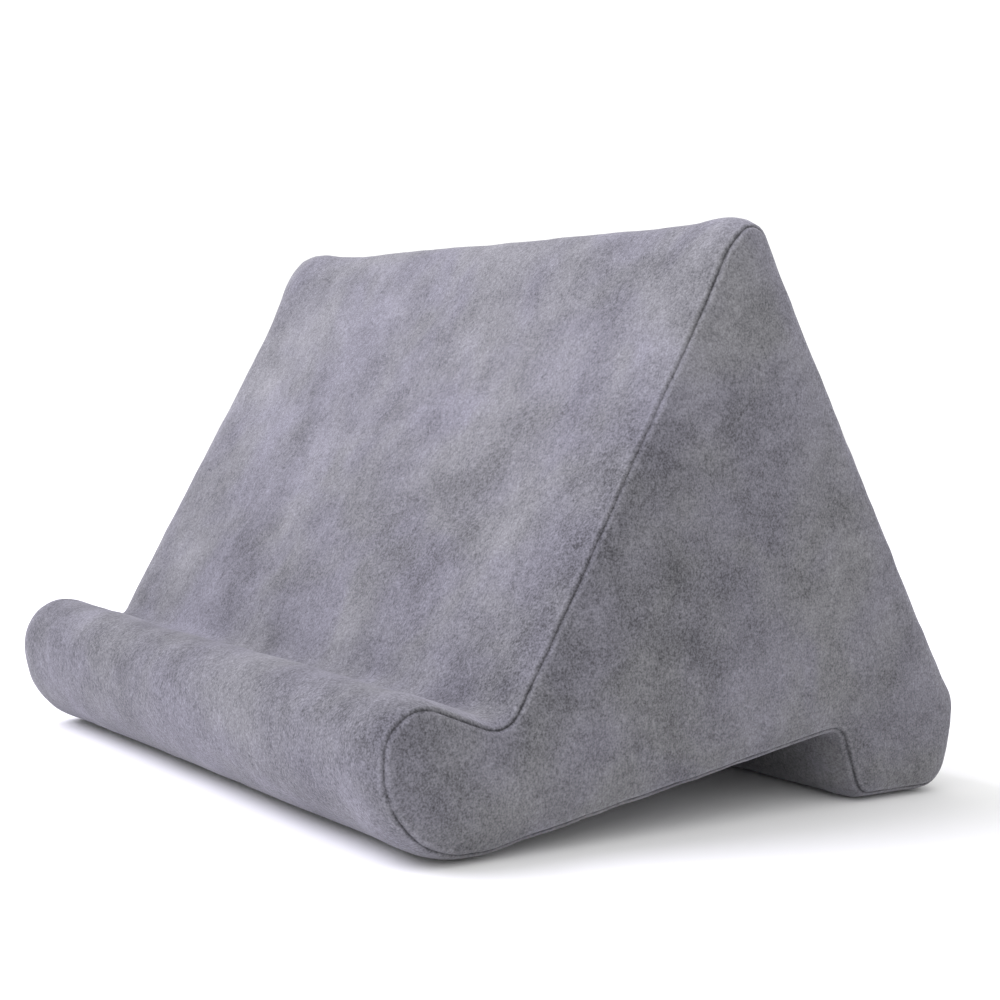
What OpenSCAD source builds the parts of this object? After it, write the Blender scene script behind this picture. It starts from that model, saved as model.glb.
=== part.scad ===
// Soft wedge stand for a tablet: a shaped foam block in a velvet cover that opens
// with a zipper low on the back. The outline below is cut along the width of the
// stand, so every layer is the same outline, set in by the layers outside it.
// Frame: +Z up, -Y to the front, +X to the right seen from the front. The origin is on
// the table, in the middle of the width and of the depth.

/* [Stand] */
// Width over the two side panels
stand_w = 270; // [200:1:360]
// Depth at the table, from the front of the roll to the heel's corner
stand_d = 229; // [210:1:290]
// Height of the top edge's corner, before it is rounded
stand_h = 187.5; // [150:0.5:240]

/* [Ledge roll and groove] */
// Depth of the ledge roll, from its front to the bottom of the groove
ledge_d = 42; // [34:1:52]
// Height of the groove's bottom above the table
groove_h = 37.5; // [32:0.5:50]
// Slope of the ledge's top, down towards the groove
ledge_slope = 20; // [8:1:25]
// Radius of the roll's top front edge
roll_top_r = 15; // [8:1:17]
// Radius of the roll's bottom front edge
roll_bottom_r = 30; // [12:1:30]
// Radius at the bottom of the groove
groove_r = 6; // [3:1:12]

/* [Rest face and top] */
// Angle of the rest face above the table
rest_angle = 61; // [55:1:68]
// Depth of the rounded brow between the rest face and the top edge
brow_d = 12.5; // [6:0.5:18]
// Slope of the brow
brow_angle = 45; // [35:1:50]
// Radius where the rest face turns into the brow
brow_r = 40; // [10:1:50]
// Radius of the top edge
top_r = 8; // [4:1:12]

/* [Foot and underside] */
// Depth of the foot along the table
foot_d = 42; // [34:1:56]
// Height of the notch in front of the foot
notch_h = 23; // [15:1:30]
// How far the foot's front leans back from upright
foot_lean = 21.5; // [5:0.5:28]
// Height of the heel's corner above the table
heel_h = 30; // [27:1:45]
// How far the heel overhangs the back of the foot
heel_overhang = 5; // [0:1:10]
// Radius of the heel
heel_r = 11; // [5:1:14]
// Radius of the foot's bottom back edge
foot_back_r = 12; // [5:1:14]
// Radius of the foot's bottom front edge
foot_front_r = 9; // [4:1:11]
// Radius in the corner of the notch
notch_r = 3; // [2:1:8]
// Length of the roll's footprint, from the front to where the underside starts to rise
roll_base_d = 37; // [34:1:50]
// Radius where the underside starts to rise
under_r = 30; // [10:1:40]

/* [Cover] */
// Thickness of the velvet and its backing
cover_t = 1.2; // [0.8:0.1:2]
// Thickness of the seam thread
thread_t = 0.5; // [0.3:0.1:0.8]
// Depth of the seam thread below the surface of the cover
thread_depth = 0.35; // [0.2:0.05:0.6]

/* [Zipper] */
// Distance of the zipper from the heel's corner, up the back face
zip_rise = 38; // [30:1:80]
// Distance from each side panel to the end of the zipper's opening
zip_margin = 16; // [12:1:30]
// Width of the opening between the two turned edges of the cover
zip_gap_w = 10.6; // [9.6:0.1:14]
// Width of one zipper tape
tape_w = 13; // [10:0.5:16]
// Thickness of a zipper tape
tape_t = 0.6; // [0.4:0.1:0.8]
// How far each tape runs on past the opening
tape_tail = 9; // [4:1:10]
// Pitch of the teeth in one row
tooth_pitch = 1.8; // [1.8:0.1:3]
// Width of one tooth along the zipper
tooth_t = 0.7; // [0.5:0.05:0.75]
// Height of a tooth above its tape
tooth_h = 2; // [1.5:0.1:2.2]
// Reach of a tooth past the middle of the zipper
tooth_hook = 0.6; // [0.3:0.1:0.8]
// Half the width of the closed teeth
chain_half_w = 2.6; // [2.4:0.1:3]

/* [Slider and pull] */
// Length of the slider
slider_l = 11.5; // [10:0.5:14]
// Width of the slider
slider_w = 9; // [8.6:0.1:9.2]
// Thickness of the slider's plates
slider_plate_t = 0.8; // [0.6:0.1:1]
// Clearance between the slider and the tape or teeth
slider_clear = 0.2; // [0.15:0.05:0.3]
// Length of the pull tab, from its pin to its tip
pull_l = 26; // [18:1:34]
// Width of the pull tab
pull_w = 6.8; // [6:0.1:8]
// Thickness of the pull tab
pull_t = 1.4; // [1:0.1:1.6]
// Diameter of the pull tab's pin
pull_pin_d = 1.4; // [1:0.1:1.6]

/* [Stitches and label] */
// Distance of the topstitching from the turned edge
stitch_inset = 2.5; // [2:0.5:6]
// Length of one stitch
stitch_l = 3; // [2:0.5:4]
// Gap between two stitches
stitch_gap = 1; // [0.5:0.5:2]
// Width of a stitch
stitch_w = 0.5; // [0.3:0.1:0.8]
// Height of a stitch above the cover
stitch_h = 0.35; // [0.2:0.05:0.5]
// Length of the care label along the seam
label_l = 28; // [16:1:40]
// Width of the care label, from the seam to its fold
label_w = 18; // [12:1:30]
// Thickness of the folded care label
label_t = 0.5; // [0.3:0.1:0.8]
// Distance of the care label above the zipper
label_rise = 34; // [22:1:60]

/* [Hidden] */

velvet = [0.49, 0.49, 0.53];
velvet_thread = [0.33, 0.33, 0.37];
foam = [0.93, 0.90, 0.80];
tape = [0.40, 0.40, 0.44];
nylon = [0.46, 0.46, 0.50];
metal = [0.62, 0.62, 0.64];
satin = [0.94, 0.94, 0.93];

// Largest angle that one flat of a rounded corner takes
arc_step = 7.5;
// Largest share of an edge that the arcs at its two ends take
edge_share = 0.98;
// Overshoot of a cut past the solid it cuts
cut_over = 1;

// --- The outline, seen from the side: [depth from the front, height] ---

foot_front_d = stand_d - heel_overhang - foot_d;
brow_h = stand_h - brow_d * tan(brow_angle);
brow_at = ledge_d + (brow_h - groove_h) / tan(rest_angle);
heel = [stand_d, heel_h];
top_edge = [brow_at + brow_d, stand_h];
corners = [
    [0, 0],
    [roll_base_d, 0],
    [foot_front_d - notch_h * tan(foot_lean), notch_h],
    [foot_front_d, 0],
    [stand_d - heel_overhang, 0],
    heel,
    top_edge,
    [brow_at, brow_h],
    [ledge_d, groove_h],
    [0, groove_h + ledge_d * tan(ledge_slope)]
];
corner_r = [roll_bottom_r, under_r, notch_r, foot_front_r, foot_back_r, heel_r, top_r, brow_r,
            groove_r, roll_top_r];

function unit(v) = v / norm(v);
function left_of(v) = [-v[1], v[0]];
function before(p, i) = unit(p[i] - p[(i + len(p) - 1) % len(p)]);
function after(p, i) = unit(p[(i + 1) % len(p)] - p[i]);
function turn(p, i) = atan2(cross(before(p, i), after(p, i)), before(p, i) * after(p, i));

// The way a corner moves when both its edges move inwards by 1
function inward(p, i) =
    let (a = left_of(before(p, i)), b = left_of(after(p, i))) (a + b) / (1 + a * b);

// How much of each edge a corner's arc takes, and how many times over the two arcs of the
// edge after corner i fit on it
function arc_reach(i) = corner_r[i] * tan(abs(turn(corners, i)) / 2);
function arc_room(i) =
    let (j = (i + 1) % len(corners)) norm(corners[j] - corners[i]) / (arc_reach(i) + arc_reach(j));

// The radii, reduced where two arcs would meet on the edge between them
fitted_r = [
    for (i = [0 : len(corners) - 1])
        let (last = (i + len(corners) - 1) % len(corners))
        corner_r[i] * min(1, edge_share * arc_room(i), edge_share * arc_room(last))
];

// The arc that rounds corner i with radius r
function corner_arc(p, i, r) =
    let (
        t = turn(p, i),
        side = sign(t),
        centre = p[i] + inward(p, i) * r * side,
        start = -left_of(before(p, i)) * side,
        start_angle = atan2(start[1], start[0]),
        steps = max(1, ceil(abs(t) / arc_step))
    )
    [for (k = [0 : steps]) let (a = start_angle + t * k / steps) centre + r * [cos(a), sin(a)]];

// The rounded outline, set in by d all round
function outline(d) =
    let (p = [for (i = [0 : len(corners) - 1]) corners[i] + d * inward(corners, i)])
    [for (i = [0 : len(p) - 1]) each corner_arc(p, i, fitted_r[i] - d * sign(turn(corners, i)))];

// The middle of the rounded outline's depth is the origin
surface = outline(0);
mid_d = (min([for (q = surface) q[0]]) + max([for (q = surface) q[0]])) / 2;

// --- Across the width ---

half_w = stand_w / 2;
panel_in_x = half_w - cover_t;
wrap_end_x = panel_in_x - thread_t;

// --- The zipper, in a frame that lies on the back face ---

back_way = unit(top_edge - heel);
back_angle = atan2(back_way[1], -back_way[0]);
zip_at = heel + back_way * zip_rise;
zip_gap_l = 2 * (panel_in_x - zip_margin);
tape_l = zip_gap_l + 2 * tape_tail;
tape_top = -cover_t;
tape_under = tape_top - tape_t;
tape_in = 1.6;
tooth_top = tape_top + tooth_h;
relief_clear = 0.3;
tape_relief_w = 2 * (tape_in + tape_w + relief_clear);
slider_under = tape_under - slider_clear - slider_plate_t;
pocket_n = slider_under - relief_clear;
slider_top = tooth_top + slider_clear + slider_plate_t;
stop_l = 2.4;
stop_w = 2.2;
stop_gap = 0.4;
slider_rest_x = zip_gap_l / 2 - stop_l - 2 * stop_gap - slider_l / 2;
chain_from = -zip_gap_l / 2 + stop_l + 2 * stop_gap;
divider_l = 3.6;
divider_w = 2.4;
chain_to = slider_rest_x + slider_l / 2 - divider_l - 2 * stop_gap;
tooth_count = floor((chain_to - chain_from) / tooth_pitch);
spine_w = 0.4;
flange_w = 1;
crown_l = 7.4;
crown_w = 2.4;
crown_bar_t = 1;
crown_post_l = 1.3;
pin_room = 0.45;
pin_n = slider_top + pin_room + pull_pin_d / 2;
crown_top = pin_n + pull_pin_d / 2 + pin_room + crown_bar_t;
arm_gap = 0.35;
arm_w = 1.1;
arm_l = crown_l / 2 + 1.4;
pull_hole_w = 2.6;
pull_hole_l = 9;
stitch_line = zip_gap_w / 2 + stitch_inset;
bar_tack_out = 3;

// --- Shared shapes ---

// A slice of the outline set in by d, from x0 to x1
module slice(d, x0, x1) {
    translate([x0, -mid_d, 0]) rotate([90, 0, 90])
        linear_extrude(height = x1 - x0) polygon(outline(d));
}

// Places its children on the back face at the zipper: x along the stand's -X, y up the
// face, z out of it
module on_back() {
    translate([0, zip_at[0] - mid_d, zip_at[1]]) rotate([back_angle, 0, 180]) children();
}

// A block from one corner to the other
module block(low, high) {
    translate(low) cube(high - low);
}

// A closed band between the outline set in by d and the same t further in, from x0 to x1
module band(d, t, x0, x1) {
    translate([x0, -mid_d, 0]) rotate([90, 0, 90]) linear_extrude(height = x1 - x0) difference() {
        polygon(outline(d));
        polygon(outline(d + t));
    }
}

// One zipper tape on the upper (side = 1) or lower (side = -1) edge of the opening
module zipper_tape(side) {
    color(tape) on_back()
        block([-tape_l / 2, side > 0 ? tape_in : -tape_in - tape_w, tape_under],
              [tape_l / 2, side > 0 ? tape_in + tape_w : -tape_in, tape_top]);
}

// One row of teeth, whose tips pass the middle between the other row's teeth
module zipper_teeth(side) {
    shift = side > 0 ? 0 : tooth_pitch / 2;
    color(nylon) on_back() scale([-1, side, 1]) {
        block([chain_from, chain_half_w - spine_w, tape_top],
              [chain_from + tooth_count * tooth_pitch, chain_half_w, tooth_top]);
        for (i = [0 : tooth_count - 1])
            translate([chain_from + shift + i * tooth_pitch, -tooth_hook, tape_top])
                cube([tooth_t, chain_half_w + tooth_hook - spine_w / 2, tooth_h]);
    }
}

// A row of stitches beside the opening, with a bar tack across each end's corner
module topstitch(side) {
    row_l = zip_gap_l + 2 * stitch_inset;
    step = stitch_l + stitch_gap;
    count = floor((row_l + stitch_gap) / step);
    start = -(count * step - stitch_gap) / 2;
    color(velvet_thread) on_back() scale([1, side, 1]) {
        for (i = [0 : count - 1])
            translate([start + i * step, stitch_line - stitch_w / 2, 0])
                cube([stitch_l, stitch_w, stitch_h]);
        for (end = [-1, 1])
            translate([end * (row_l / 2 + bar_tack_out) - stitch_w / 2, stitch_gap / 2, 0])
                cube([stitch_w, stitch_line - stitch_gap / 2, stitch_h]);
    }
}

// --- The pieces ---

module foam_core() {
    color(foam) difference() {
        slice(cover_t, -panel_in_x, panel_in_x);
        on_back() {
            block([-tape_l / 2 - relief_clear, -tape_relief_w / 2, tape_under],
                  [tape_l / 2 + relief_clear, tape_relief_w / 2, cut_over]);
            block([-zip_gap_l / 2, -zip_gap_w / 2, pocket_n],
                  [zip_gap_l / 2, zip_gap_w / 2, cut_over]);
        }
    }
}

module wrap_panel() {
    color(velvet) difference() {
        band(0, cover_t, -wrap_end_x, wrap_end_x);
        on_back()
            block([-zip_gap_l / 2, -zip_gap_w / 2, -cover_t - cut_over],
                  [zip_gap_l / 2, zip_gap_w / 2, cut_over]);
    }
}

module side_panel_right() {
    color(velvet) slice(0, panel_in_x, half_w);
}

module side_panel_left() {
    color(velvet) slice(0, -half_w, -panel_in_x);
}

module seam_thread_right() {
    color(velvet_thread) band(thread_depth, thread_t, wrap_end_x, panel_in_x);
}

module seam_thread_left() {
    color(velvet_thread) band(thread_depth, thread_t, -panel_in_x, -wrap_end_x);
}

module zipper_tape_upper() {
    zipper_tape(1);
}

module zipper_tape_lower() {
    zipper_tape(-1);
}

module zipper_teeth_upper() {
    zipper_teeth(1);
}

module zipper_teeth_lower() {
    zipper_teeth(-1);
}

// A small clamp on the edge of each tape, in front of the closed slider
module zipper_top_stops() {
    color(metal) on_back() for (side = [-1, 1]) scale([-1, side, 1])
        block([slider_rest_x + slider_l / 2 + stop_gap, tape_in - stop_gap, tape_top],
              [slider_rest_x + slider_l / 2 + stop_gap + stop_l, tape_in + stop_w, tooth_top]);
}

// A staple over both tapes, where the teeth start
module zipper_bottom_stop() {
    color(metal) on_back() scale([-1, 1, 1])
        block([-zip_gap_l / 2 + stop_gap, -tape_in - stop_w, tape_top],
              [-zip_gap_l / 2 + stop_gap + stop_l, tape_in + stop_w, tooth_top]);
}

// Two plates joined by the divider, with flanges beside the teeth and a crown on top
module zipper_slider() {
    half_l = slider_l / 2;
    half_slider_w = slider_w / 2;
    slider_root = slider_top - slider_plate_t / 2;
    color(metal) on_back() translate([-slider_rest_x, 0, 0]) scale([-1, 1, 1]) {
        block([-half_l, -half_slider_w, slider_top - slider_plate_t],
              [half_l, half_slider_w, slider_top]);
        block([-half_l, -half_slider_w, slider_under],
              [half_l, half_slider_w, slider_under + slider_plate_t]);
        block([half_l - divider_l, -divider_w / 2, slider_under],
              [half_l, divider_w / 2, slider_top]);
        for (side = [-1, 1]) scale([1, side, 1])
            block([-half_l, half_slider_w - flange_w, tape_top + slider_clear],
                  [half_l, half_slider_w, slider_top]);
        for (end = [-1, 1])
            translate([end * (crown_l - crown_post_l) / 2 - crown_post_l / 2, -crown_w / 2, slider_root])
                cube([crown_post_l, crown_w, crown_top - slider_root]);
        block([-crown_l / 2, -crown_w / 2, crown_top - crown_bar_t],
              [crown_l / 2, crown_w / 2, crown_top]);
    }
}

// A flat tab on two arms, hung on a pin that passes under the slider's crown
module zipper_pull() {
    pin_l = crown_w + 2 * arm_gap + 2 * arm_w;
    tip_x = pull_l - pull_w / 2;
    color(metal) on_back() translate([-slider_rest_x, 0, pin_n]) {
        rotate([90, 0, 0]) cylinder(h = pin_l, d = pull_pin_d, center = true, $fn = 32);
        for (side = [-1, 1]) scale([1, side, 1]) {
            translate([0, crown_w / 2 + arm_gap, -pull_t / 2]) cube([arm_l, arm_w, pull_t]);
            translate([0, crown_w / 2 + arm_gap + arm_w, 0]) rotate([90, 0, 0])
                cylinder(h = arm_w, d = pull_t, $fn = 32);
        }
        translate([0, 0, -pull_t / 2]) linear_extrude(height = pull_t) difference() {
            union() {
                translate([arm_l, -pull_w / 2]) square([tip_x - arm_l, pull_w]);
                translate([tip_x, 0]) circle(d = pull_w, $fn = 48);
            }
            translate([tip_x - pull_hole_l, -pull_hole_w / 2]) square([pull_hole_l, pull_hole_w]);
            for (end = [0, pull_hole_l])
                translate([tip_x - end, 0]) circle(d = pull_hole_w, $fn = 32);
        }
    }
}

module topstitch_upper() {
    topstitch(1);
}

module topstitch_lower() {
    topstitch(-1);
}

// A blank folded tag, held in the left seam and lying on the back face
module care_label() {
    color(satin) on_back()
        block([wrap_end_x - label_w, label_rise, 0], [wrap_end_x, label_rise + label_l, label_t]);
}

foam_core();
wrap_panel();
side_panel_right();
side_panel_left();
seam_thread_right();
seam_thread_left();
zipper_tape_upper();
zipper_tape_lower();
zipper_teeth_upper();
zipper_teeth_lower();
zipper_top_stops();
zipper_bottom_stop();
zipper_slider();
zipper_pull();
topstitch_upper();
topstitch_lower();
care_label();
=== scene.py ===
# A wedge-shaped tablet stand: a foam block in a velvet cover with a zipper on its back.
import math

import bmesh
import bpy
import numpy as np
from mathutils import Matrix, Vector, noise
from mathutils.geometry import delaunay_2d_cdt


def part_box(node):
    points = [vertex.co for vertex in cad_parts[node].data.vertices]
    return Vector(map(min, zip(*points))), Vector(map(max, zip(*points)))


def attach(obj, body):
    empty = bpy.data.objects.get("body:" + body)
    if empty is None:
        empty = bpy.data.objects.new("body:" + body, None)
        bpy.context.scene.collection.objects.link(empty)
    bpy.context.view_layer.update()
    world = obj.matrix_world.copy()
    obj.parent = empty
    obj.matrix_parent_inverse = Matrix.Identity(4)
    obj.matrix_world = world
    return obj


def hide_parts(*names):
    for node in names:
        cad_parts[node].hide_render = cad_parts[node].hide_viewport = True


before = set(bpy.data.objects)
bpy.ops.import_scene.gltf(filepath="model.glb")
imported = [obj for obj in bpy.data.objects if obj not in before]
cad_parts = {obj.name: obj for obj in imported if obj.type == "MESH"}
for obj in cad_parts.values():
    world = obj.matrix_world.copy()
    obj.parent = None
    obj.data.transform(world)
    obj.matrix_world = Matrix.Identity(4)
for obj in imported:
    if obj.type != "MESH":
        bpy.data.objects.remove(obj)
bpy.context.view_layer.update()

MM = 0.001

# ---- Camera ----

CAMERA_AT = Vector((0.5334, -0.3613, 0.1286))
CAMERA_AZIMUTH = math.radians(54.54)
CAMERA_DROP = math.radians(3.33)
CAMERA_ROLL = math.radians(1.37)
CAMERA_LENS = 64.8


def make_camera():
    """A camera that looks along its azimuth and a little downwards, turned about its own axis."""
    level = math.cos(CAMERA_DROP)
    sine, cosine = math.sin(CAMERA_AZIMUTH), math.cos(CAMERA_AZIMUTH)
    back = Vector((sine * level, -cosine * level, math.sin(CAMERA_DROP)))
    right = Vector((cosine, sine, 0))
    up = back.cross(right)
    turn = Matrix.Rotation(CAMERA_ROLL, 3, back)
    axes = Matrix((turn @ right, turn @ up, back)).transposed()
    data = bpy.data.cameras.new("camera")
    data.lens = CAMERA_LENS
    data.sensor_width = 36
    data.clip_start = 0.01
    data.clip_end = 50
    camera = bpy.data.objects.new("camera", data)
    camera.matrix_world = Matrix.Translation(CAMERA_AT) @ axes.to_4x4()
    bpy.context.scene.collection.objects.link(camera)
    bpy.context.scene.camera = camera


make_camera()

# ---- The outline, seen from the side: depth from the front and height, in millimetres ----

STAND_D = 229
STAND_H = 187.5
LEDGE_D = 42
GROOVE_H = 37.5
LEDGE_SLOPE = math.radians(20)
REST_ANGLE = math.radians(61)
BROW_D = 12.5
BROW_ANGLE = math.radians(45)
FOOT_D = 42
NOTCH_H = 23
FOOT_LEAN = math.radians(21.5)
HEEL_H = 30
HEEL_OVERHANG = 5
ROLL_BASE_D = 37

FOOT_FRONT = STAND_D - HEEL_OVERHANG - FOOT_D
BROW_H = STAND_H - BROW_D * math.tan(BROW_ANGLE)
BROW_AT = LEDGE_D + (BROW_H - GROOVE_H) / math.tan(REST_ANGLE)
HEEL = (STAND_D, HEEL_H)
TOP_EDGE = (BROW_AT + BROW_D, STAND_H)

# Each corner with the radius that rounds it, counter-clockwise from the roll's foot
CORNERS = [
    ((0, 0), 30),
    ((ROLL_BASE_D, 0), 30),
    ((FOOT_FRONT - NOTCH_H * math.tan(FOOT_LEAN), NOTCH_H), 3),
    ((FOOT_FRONT, 0), 9),
    ((STAND_D - HEEL_OVERHANG, 0), 12),
    (HEEL, 11),
    (TOP_EDGE, 8),
    ((BROW_AT, BROW_H), 40),
    ((LEDGE_D, GROOVE_H), 6),
    ((0, GROOVE_H + LEDGE_D * math.tan(LEDGE_SLOPE)), 15),
]
HALF_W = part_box("side_panel_right")[1].x / MM
COVER_T = 1.2
SEAM_X = HALF_W - 2.2


def left_of(v):
    """A direction turned a quarter turn to the left."""
    return np.array((-v[1], v[0]))


def rounded_outline():
    """The rounded outline as straight runs and arcs: (start point, length, start direction, turn)."""
    points = [np.array(p, float) for p, _ in CORNERS]
    count = len(points)
    ways = [points[(i + 1) % count] - points[i] for i in range(count)]
    lengths = [np.linalg.norm(w) for w in ways]
    ways = [w / n for w, n in zip(ways, lengths)]
    before = ways[-1:] + ways[:-1]
    turns = [math.atan2(float(np.cross(a, b)), float(a @ b)) for a, b in zip(before, ways)]
    reach = [r * math.tan(abs(t) / 2) for (_, r), t in zip(CORNERS, turns)]
    runs = []
    for i in range(count):
        after = (i + 1) % count
        runs.append((points[i] + ways[i] * reach[i], lengths[i] - reach[i] - reach[after], ways[i], 0.0))
        start = points[after] - ways[i] * reach[after]
        runs.append((start, CORNERS[after][1] * abs(turns[after]), ways[i], turns[after]))
    return runs


RUNS = rounded_outline()
AROUND = sum(run[1] for run in RUNS)


def on_outline(s):
    """The point and outward normal at s millimetres round the outline."""
    s = s % AROUND
    for start, length, way, turn in RUNS:
        if s <= length:
            break
        s -= length
    if turn == 0.0:
        return start + way * s, -left_of(way)
    radius = length / abs(turn)
    side = math.copysign(1, turn)
    angle = s / radius
    centre = start + left_of(way) * side * radius
    out = -left_of(way) * side * math.cos(angle) + way * math.sin(angle)
    return centre + out * radius, out * side


OUTLINE_S = np.linspace(0, AROUND, 2000, endpoint=False)
OUTLINE_P = np.array([on_outline(s)[0] for s in OUTLINE_S])
MID_D = (OUTLINE_P[:, 0].min() + OUTLINE_P[:, 0].max()) / 2

# The zipper's line on the back face, and its opening in the cover
BACK_WAY = np.array(TOP_EDGE) - np.array(HEEL)
BACK_WAY = BACK_WAY / np.linalg.norm(BACK_WAY)
BACK_OUT = -left_of(BACK_WAY)
ZIP_RISE = 38
ZIP_AT = np.array(HEEL) + BACK_WAY * ZIP_RISE
ZIP_S = OUTLINE_S[np.argmin(np.linalg.norm(OUTLINE_P - ZIP_AT, axis=1))]
GAP_HALF_W = 5.3
TAPE_TAIL = 9
GAP_HALF_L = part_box("zipper_tape_upper")[1].x / MM - TAPE_TAIL
BACK_UP = Vector((0, BACK_WAY[0], BACK_WAY[1]))


def to_world(x, point):
    """A place at x across the stand and at a point of the outline's plane, in metres."""
    return Vector((x, point[0] - MID_D, point[1])) * MM


def from_zip(s):
    """How far round the outline a place is from the zipper's line."""
    return abs((s - ZIP_S + AROUND / 2) % AROUND - AROUND / 2)


def on_back(x, up, out):
    """A place on the back face: x across, up the face from the zipper's middle, and out of it."""
    return to_world(x, ZIP_AT + BACK_WAY * up + BACK_OUT * out)


def from_back(place):
    """The (x, up, out) of a place in metres: on_back the other way round."""
    flat = np.array((place.y / MM + MID_D, place.z / MM)) - ZIP_AT
    return place.x / MM, float(flat @ BACK_WAY), float(flat @ BACK_OUT)


# ---- Mesh helpers ----


def make_piece(name, vertices, faces, body, *nodes, painted_seam_shading=None):
    """A new mesh piece that rides on a body and stands for CAD nodes, with an optional value per vertex
    of painted shade in a seam's crease and painted highlight on its rim.
    """
    mesh = bpy.data.meshes.new(name)
    mesh.from_pydata([tuple(v) for v in vertices], [], [tuple(f) for f in faces])
    if painted_seam_shading is not None:
        # Stores the painted shade in the seams' creases and the painted highlight on their rims
        mesh.attributes.new("painted_seam_shading", "FLOAT", "POINT").data.foreach_set("value", painted_seam_shading)
    mesh.update()
    built = bmesh.new()
    built.from_mesh(mesh)
    bmesh.ops.recalc_face_normals(built, faces=built.faces)
    built.to_mesh(mesh)
    built.free()
    for polygon in mesh.polygons:
        polygon.use_smooth = True
    piece = bpy.data.objects.new(name, mesh)
    bpy.context.scene.collection.objects.link(piece)
    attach(piece, body)
    if nodes:
        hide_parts(*nodes)
    return piece


def band(a, b, count):
    """The faces between two closed rings of count vertices, whose first vertices are a and b."""
    return [[a + i, a + (i + 1) % count, b + (i + 1) % count, b + i] for i in range(count)]


class Shapes:
    """Collects the vertices and faces of several closed shapes for one piece."""

    def __init__(self):
        self.vertices = []
        self.faces = []

    def add(self, vertices, faces):
        first = len(self.vertices)
        self.vertices += [Vector(v) for v in vertices]
        self.faces += [[first + i for i in face] for face in faces]

    def tube(self, path, radii, sides=8, up=(0, 0, 1), flat=1.0):
        """A closed tube along path with a radius at each point; flat scales it along up."""
        count = len(path)
        rings = []
        for i, at in enumerate(path):
            way = (path[min(i + 1, count - 1)] - path[max(i - 1, 0)]).normalized()
            side = way.cross(Vector(up)).normalized()
            lift = side.cross(way)
            for k in range(sides):
                angle = 2 * math.pi * k / sides
                rings.append(at + (side * math.cos(angle) + lift * math.sin(angle) * flat) * radii[i])
        faces = []
        for i in range(count - 1):
            faces += band(i * sides, (i + 1) * sides, sides)
        faces.append(list(range(sides))[::-1])
        faces.append([(count - 1) * sides + k for k in range(sides)])
        self.add(rings, faces)

    def stitch(self, start, end, radius, out, sink):
        """One stitch: a short bead of thread whose two ends dip into the cloth."""
        steps, blunt_end = 7, 0.25
        path, radii = [], []
        for i in range(steps):
            t = i / (steps - 1)
            dip = (2 * t - 1) ** 4
            path.append(start.lerp(end, t) - out * sink * dip)
            radii.append(radius * max(blunt_end, math.sqrt(max(0.0, 1 - dip))))
        self.tube(path, radii, sides=8, up=out)


def slab_faces(count, width):
    """The faces of a slab whose two sides are each a grid of count rows of width vertices."""
    shift = count * width
    faces = []
    for i in range(count - 1):
        for k in range(width - 1):
            quad = [i * width + k, (i + 1) * width + k, (i + 1) * width + k + 1, i * width + k + 1]
            faces += [quad, [shift + v for v in reversed(quad)]]
        for k in (0, width - 1):
            a, b = i * width + k, (i + 1) * width + k
            faces.append([a, b, shift + b, shift + a])
    for i in (0, count - 1):
        for k in range(width - 1):
            a, b = i * width + k, i * width + k + 1
            faces.append([a, b, shift + b, shift + a])
    return faces


# How far apart two seeds' noise lies, in bumps
SEED_STEPS = (17.3, 5.1, 9.7)


def ripple(*at, size, seed):
    """Smooth noise between about -1 and 1 whose bumps are size across."""
    place = Vector([a / size for a in at] + [0.0] * (3 - len(at)))
    shift = Vector([seed * step for step in SEED_STEPS])
    return noise.noise(place + shift, noise_basis="PERLIN_ORIGINAL")


def seam_ripple(at, side, size, seed):
    """Smooth noise along a seam that differs between the two sides."""
    return ripple(*at, side * 40, size=size, seed=seed)


def smooth_step(t):
    """A smooth rise from 0 to 1 as t goes from 0 to 1."""
    t = min(1.0, max(0.0, t))
    return t * t * (3 - 2 * t)


def bell(away, reach, power=2):
    """1 where away is 0, falling smoothly to 0 past reach."""
    return math.exp(-((away / reach) ** power))


def spaced(low, high, step):
    """Values from low to high, both included, about step apart."""
    return list(np.linspace(low, high, max(2, round((high - low) / step) + 1)))


def mirrored(half):
    """Rising values above 0, with 0 and their mirror images before them."""
    return [-v for v in reversed(half)] + [0.0] + half


# ---- The shape of the cover ----

# The roll of the cloth towards a seam: its depth, its reach on the wrap and on an end panel, and
# how near it comes to a full quarter circle, which is 1
SEAM_INSET = 2.5
SEAM_ROUND = 10
PANEL_ROUND = 9
ROUND_SHARE = 0.94

# The tuck in the seam itself, and the puckers beside it
TUCK = 1.0
TUCK_REACH = 0.22
PUCKER_SIZE = 9
PUCKER_REACH = 9
PUCKER_START = 1.5

# The soft swell beside a seam, the thin rim at its crease, the reach of the painted shade in the
# crease, and the painted highlight on the rim
SWELL = 0.55
SWELL_AT = 13
SWELL_REACH = 7
PAINTED_SHADE_REACH = 0.27
CREASE_RIM = 1.0
RIM_HEIGHT = 0.2
RIM_REACH = 0.6
PAINTED_RIM_LIGHT = 0.28

# The cover lies calm where it is pressed on the floor, up to this height
CALM_H = 6

# Fitted to the photo's outline: the left end is drawn in round the roll, and the cover stands out
# at the brow and at the heel beside the seams
ROLL_DRAW = 8.5
ROLL_AT = (8, 26)
ROLL_REACH = 34
BROW_PAST = (4, 6)
BROW_OUT = 2.0
BROW_OUT_REACH = 26
BROW_FILL = {-1: 2.9, 1: 1.0}
BROW_FILL_REACH = 22
HEEL_FILL = 1.3
HEEL_FILL_AT = (STAND_D, 18)
HEEL_FILL_REACH = 17
FILL_REACH = 24

# Fitted to the photo: how much of the painted shade along the crease is lost where it is weakest, and
# where
FADE = 0.65
FADE_H = 0.6 * STAND_H
FADE_REACH = 40

# The opening's edge: how far the cloth rolls in there, and the line that the stitches press in
HEM_ROLL = 0.75
HEM_REACH = 2.0
HEM_LINE = 2.5
HEM_LINE_DIP = 0.3
HEM_LINE_REACH = 0.7


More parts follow.
